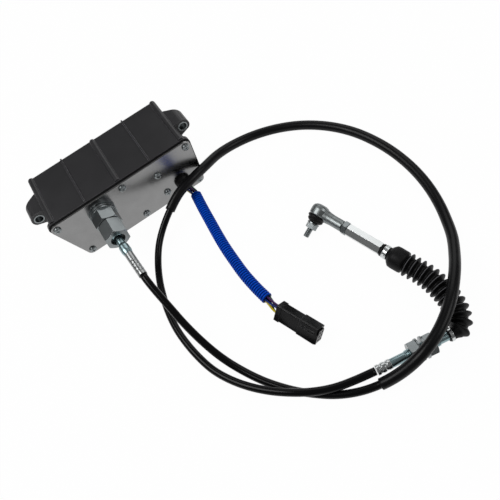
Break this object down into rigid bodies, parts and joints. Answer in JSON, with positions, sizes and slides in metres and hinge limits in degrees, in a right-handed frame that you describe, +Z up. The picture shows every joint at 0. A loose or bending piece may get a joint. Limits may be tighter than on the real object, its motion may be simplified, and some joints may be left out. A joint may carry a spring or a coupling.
{
  "type": "stepper motor actuator",
  "caption": "Geared stepping-motor actuator in a ribbed housing that pushes and pulls a control cable with a ball-jointed rod end, and has a plug lead.",
  "frame": {"origin": "under the middle of the housing and its cable gland, on the surface that it stands on", "axes": "+X along the housing, the cover plate and gland face -Y, +Z up"},
  "size_m": [0.3507, 0.3801, 0.07],
  "materials": {
    "black_moulding": "satin black moulded plastic",
    "pale_plastic": "natural acetal",
    "blue_plastic": "moulded sensor case",
    "plug_plastic": "glass-filled black plastic",
    "plate_steel": "smooth zinc-plated sheet, almost a mirror",
    "zinc_steel": "bright zinc-plated steel",
    "plain_steel": "machined steel",
    "forged_steel": "forged and zinc-plated, dull",
    "bright_steel": "bright plated steel",
    "brass": "turned brass",
    "winding": "wound and potted coils",
    "rubber": "black moulded rubber",
    "conduit_black": "smooth black jacket",
    "sleeve_black": "matt black protective sleeve",
    "loom_blue": "blue corrugated tube",
    "yellow": "wire insulation",
    "blue": "wire insulation",
    "violet": "wire insulation",
    "green": "wire insulation",
    "black": "wire insulation"
  },
  "bodies": {
    "actuator": {"housing": "black_moulding", "ear_bushes": "zinc_steel", "cover_inserts": "brass", "gasket": "rubber", "cover_plate": "plate_steel", "cover_screws": "zinc_steel", "frame_screws": "zinc_steel", "gear_frame": "plain_steel", "frame_bushes": "brass", "motor_can": "plain_steel", "motor_cap": "plain_steel", "motor_stator": "winding", "idler_pin": "plain_steel", "position_sensor": "blue_plastic", "rack_guide": "pale_plastic", "gland_washer": "zinc_steel", "gland_lock_washer": "zinc_steel", "gland_nut": "zinc_steel", "gland_body": "zinc_steel", "gland_inner_nut": "zinc_steel", "start_tube": "zinc_steel", "start_crimp": "bright_steel", "cable_front": "conduit_black", "cable_sleeve": "sleeve_black", "cable_rear": "conduit_black", "far_crimp": "bright_steel", "far_tube": "zinc_steel", "far_nuts": "zinc_steel", "far_washers": "zinc_steel", "bellows_clamp": "bright_steel", "bellows": "rubber", "core_wire": "plain_steel", "grommet": "rubber", "yellow_wire": "yellow", "blue_wire": "blue", "violet_wire": "violet", "green_wire": "green", "black_wire": "black", "loom": "loom_blue", "plug_shell": "plug_plastic", "plug_core": "plug_plastic"},
    "output": {"output_shaft": "plain_steel", "output_wheel": "pale_plastic", "rack_gear": "plain_steel"},
    "idler": {"idler_gear": "pale_plastic"},
    "rotor": {"motor_rotor": "plain_steel", "motor_pinion": "brass"},
    "rack_bar": {"rack": "plain_steel", "core_rod": "plain_steel"},
    "rod": {"rod_sleeve": "zinc_steel", "rod_ferrule": "bright_steel", "rod_ring": "rubber", "adjuster": "bright_steel", "jam_nut": "zinc_steel", "ball_housing": "forged_steel", "dust_boot": "rubber"},
    "ball_cup": {"ball_seat": "pale_plastic"},
    "stud": {"ball_stud": "zinc_steel", "stud_washer": "zinc_steel", "stud_nut": "zinc_steel"}
  },
  "joints": [
    {"name": "output_turn", "type": "hinge", "parent": "actuator", "child": "output", "pos_m": [-0.02, 0.0145, 0.03], "axis": [0, 0, 1], "range_deg": [-85.9, 85.9]},
    {"name": "idler_turn", "type": "hinge", "parent": "actuator", "child": "idler", "pos_m": [0.008, 0.0145, 0.03], "axis": [0, 0, 1], "range_deg": [-258, 258]},
    {"name": "motor_turn", "type": "hinge", "parent": "actuator", "child": "rotor", "pos_m": [0.036, 0.0145, 0.03], "axis": [0, 0, 1], "range_deg": [-774, 774]},
    {"name": "rack_slide", "type": "slide", "parent": "actuator", "child": "rack_bar", "axis": [0, -1, 0], "range_m": [-0.012, 0.012]},
    {"name": "rod_slide", "type": "slide", "parent": "actuator", "child": "rod", "axis": [-0.2923, 0.9559, 0.0279], "range_m": [-0.012, 0.012], "deforming": ["bellows"]},
    {"name": "stud_swivel", "type": "hinge", "parent": "rod", "child": "ball_cup", "pos_m": [0.146, -0.1439, 0.0148], "axis": [0.8702, 0.2537, 0.4225], "continuous": true},
    {"name": "stud_tilt", "type": "hinge", "parent": "ball_cup", "child": "stud", "pos_m": [0.146, -0.1439, 0.0148], "axis": [0.3968, 0.1478, -0.906], "range_deg": [-15, 15], "deforming": ["dust_boot"]}
  ],
  "couplings": [
    {"joint": "idler_turn", "follows": "output_turn", "ratio": -3},
    {"joint": "motor_turn", "follows": "output_turn", "ratio": 9},
    {"joint": "rack_slide", "follows": "output_turn", "m_per_rad": 0.008},
    {"joint": "rod_slide", "follows": "output_turn", "m_per_rad": 0.008}
  ]
}
